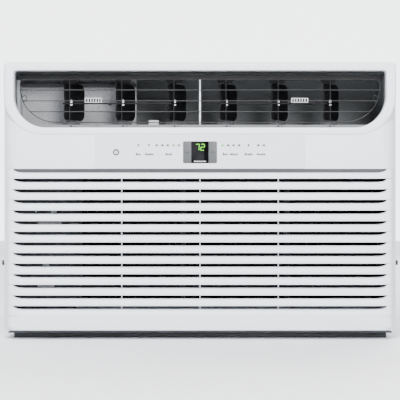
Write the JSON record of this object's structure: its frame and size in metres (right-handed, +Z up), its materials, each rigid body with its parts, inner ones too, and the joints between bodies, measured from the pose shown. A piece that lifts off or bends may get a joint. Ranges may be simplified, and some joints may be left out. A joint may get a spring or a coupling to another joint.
{
  "type": "window air conditioner",
  "caption": "Slide-out window air conditioner with a louvred front panel, swinging vanes, keypad, side-pull air filter and internal fans, coils and compressor.",
  "frame": {"origin": "on the sill, under the middle of the cabinet's box", "axes": "+X to the right seen from the front, the front faces -Y, +Z up"},
  "size_m": [0.685, 0.673, 0.473],
  "materials": {
    "cabinet_paint": "satin",
    "rail_paint": "satin",
    "panel_plastic": "satin",
    "overlay_film": "satin",
    "display_glass": "gloss",
    "key_plastic": "satin",
    "board_laminate": "satin",
    "dark_plastic": "matte",
    "duct_plastic": "matte",
    "vane_plastic": "satin",
    "grip_plastic": "satin",
    "guard_wire": "satin",
    "galvanised_steel": "satin",
    "coil_aluminium": "satin",
    "compressor_paint": "satin",
    "copper_tube": "satin",
    "foam_tray": "matte",
    "rubber_bush": "matte",
    "screw_black": "satin",
    "filter_mesh": "matte"
  },
  "bodies": {
    "sleeve": {"sleeve_wrap": "cabinet_paint", "sleeve_base": "cabinet_paint", "base_rail_front": "rail_paint", "base_rail_rear": "rail_paint"},
    "chassis": {"base_pan": "galvanised_steel", "drain_pan": "foam_tray", "bulkhead": "galvanised_steel", "discharge_housing": "duct_plastic", "scroll_housing": "dark_plastic", "fan_shroud": "dark_plastic", "evaporator_coil": "coil_aluminium", "condenser_coil": "coil_aluminium", "rear_guard": "guard_wire", "compressor": "compressor_paint", "compressor_plate": "galvanised_steel", "accumulator": "compressor_paint", "suction_tube": "copper_tube", "discharge_tube": "copper_tube", "filter_drier": "copper_tube", "capillary_tube": "copper_tube", "control_box": "galvanised_steel", "run_capacitor": "coil_aluminium", "intake_side_plate": "galvanised_steel", "cord_gland": "rubber_bush", "motor_body": "galvanised_steel", "motor_bracket": "galvanised_steel", "vane_rail_top": "dark_plastic", "vane_rail_bottom": "duct_plastic", "wire_guard": "guard_wire", "centre_divider": "panel_plastic"},
    "fan": {"motor_shaft": "galvanised_steel", "blower_wheel": "dark_plastic", "condenser_fan": "dark_plastic"},
    "front": {"front_panel": "panel_plastic", "filter_guide_top": "panel_plastic", "filter_guide_bottom": "panel_plastic", "front_screw_left": "screw_black", "front_screw_right": "screw_black", "control_overlay": "overlay_film", "control_board": "board_laminate", "display_window": "display_glass"},
    "air_filter": {"filter_frame": "dark_plastic", "filter_mesh": "filter_mesh"},
    "vane_left_1": {"vane_left_1": "vane_plastic"},
    "vane_left_2": {"vane_left_2": "vane_plastic"},
    "vane_left_3": {"vane_left_3": "vane_plastic"},
    "link_left": {"link_left": "grip_plastic"},
    "vane_right_1": {"vane_right_1": "vane_plastic"},
    "vane_right_2": {"vane_right_2": "vane_plastic"},
    "vane_right_3": {"vane_right_3": "vane_plastic"},
    "link_right": {"link_right": "grip_plastic"},
    "key_temp_down": {"key_temp_down": "key_plastic"},
    "key_temp_up": {"key_temp_up": "key_plastic"},
    "key_power": {"key_power": "overlay_film"},
    "key_eco": {"key_eco": "overlay_film"},
    "key_sleep": {"key_sleep": "overlay_film"},
    "key_mode": {"key_mode": "overlay_film"},
    "key_fan_speed": {"key_fan_speed": "overlay_film"},
    "key_filter": {"key_filter": "overlay_film"},
    "key_timer": {"key_timer": "overlay_film"}
  },
  "joints": [
    {"name": "chassis_slide", "type": "slide", "parent": "sleeve", "child": "chassis", "axis": [0, -1, 0], "range_m": [0, 0.5]},
    {"name": "front_off", "type": "slide", "parent": "chassis", "child": "front", "axis": [0, -1, 0], "range_m": [0, 0.12]},
    {"name": "fan_spin", "type": "hinge", "parent": "chassis", "child": "fan", "pos_m": [0.04, 0, 0.2005], "axis": [0, 1, 0], "continuous": true},
    {"name": "filter_slide", "type": "slide", "parent": "front", "child": "air_filter", "axis": [1, 0, 0], "range_m": [0, 0.55]},
    {"name": "vane_left_1_turn", "type": "hinge", "parent": "chassis", "child": "vane_left_1", "pos_m": [-0.223, -0.2857, 0.408], "axis": [0, 0, 1], "range_deg": [-15, 75]},
    {"name": "vanes_left_turn", "type": "hinge", "parent": "chassis", "child": "vane_left_2", "pos_m": [-0.1338, -0.2857, 0.408], "axis": [0, 0, 1], "range_deg": [-15, 75]},
    {"name": "vane_left_3_turn", "type": "hinge", "parent": "chassis", "child": "vane_left_3", "pos_m": [-0.0446, -0.2857, 0.408], "axis": [0, 0, 1], "range_deg": [-15, 75]},
    {"name": "link_left_turn", "type": "hinge", "parent": "vane_left_2", "child": "link_left", "pos_m": [-0.1423, -0.30042, 0.4046], "axis": [0, 0, 1], "range_deg": [-75, 15]},
    {"name": "vane_right_1_turn", "type": "hinge", "parent": "chassis", "child": "vane_right_1", "pos_m": [0.0446, -0.2857, 0.408], "axis": [0, 0, 1], "range_deg": [-15, 75]},
    {"name": "vanes_right_turn", "type": "hinge", "parent": "chassis", "child": "vane_right_2", "pos_m": [0.1338, -0.2857, 0.408], "axis": [0, 0, 1], "range_deg": [-15, 75]},
    {"name": "vane_right_3_turn", "type": "hinge", "parent": "chassis", "child": "vane_right_3", "pos_m": [0.223, -0.2857, 0.408], "axis": [0, 0, 1], "range_deg": [-15, 75]},
    {"name": "link_right_turn", "type": "hinge", "parent": "vane_right_2", "child": "link_right", "pos_m": [0.1253, -0.30042, 0.4046], "axis": [0, 0, 1], "range_deg": [-75, 15]},
    {"name": "key_temp_down_press", "type": "slide", "parent": "front", "child": "key_temp_down", "axis": [0, 1, 0], "range_m": [0, 0.0008], "stiffness_N_per_m": 2000, "springref_m": -0.0005},
    {"name": "key_temp_up_press", "type": "slide", "parent": "front", "child": "key_temp_up", "axis": [0, 1, 0], "range_m": [0, 0.0008], "stiffness_N_per_m": 2000, "springref_m": -0.0005},
    {"name": "key_power_press", "type": "slide", "parent": "front", "child": "key_power", "axis": [0, 1, 0], "range_m": [0, 0.0005], "stiffness_N_per_m": 2000, "springref_m": -0.0005},
    {"name": "key_eco_press", "type": "slide", "parent": "front", "child": "key_eco", "axis": [0, 1, 0], "range_m": [0, 0.0005], "stiffness_N_per_m": 2000, "springref_m": -0.0005},
    {"name": "key_sleep_press", "type": "slide", "parent": "front", "child": "key_sleep", "axis": [0, 1, 0], "range_m": [0, 0.0005], "stiffness_N_per_m": 2000, "springref_m": -0.0005},
    {"name": "key_mode_press", "type": "slide", "parent": "front", "child": "key_mode", "axis": [0, 1, 0], "range_m": [0, 0.0005], "stiffness_N_per_m": 2000, "springref_m": -0.0005},
    {"name": "key_fan_speed_press", "type": "slide", "parent": "front", "child": "key_fan_speed", "axis": [0, 1, 0], "range_m": [0, 0.0005], "stiffness_N_per_m": 2000, "springref_m": -0.0005},
    {"name": "key_filter_press", "type": "slide", "parent": "front", "child": "key_filter", "axis": [0, 1, 0], "range_m": [0, 0.0005], "stiffness_N_per_m": 2000, "springref_m": -0.0005},
    {"name": "key_timer_press", "type": "slide", "parent": "front", "child": "key_timer", "axis": [0, 1, 0], "range_m": [0, 0.0005], "stiffness_N_per_m": 2000, "springref_m": -0.0005}
  ],
  "couplings": [
    {"joint": "vane_left_1_turn", "follows": "vanes_left_turn", "ratio": 1},
    {"joint": "vane_left_3_turn", "follows": "vanes_left_turn", "ratio": 1},
    {"joint": "link_left_turn", "follows": "vanes_left_turn", "ratio": -1},
    {"joint": "vane_right_1_turn", "follows": "vanes_right_turn", "ratio": 1},
    {"joint": "vane_right_3_turn", "follows": "vanes_right_turn", "ratio": 1},
    {"joint": "link_right_turn", "follows": "vanes_right_turn", "ratio": -1}
  ]
}
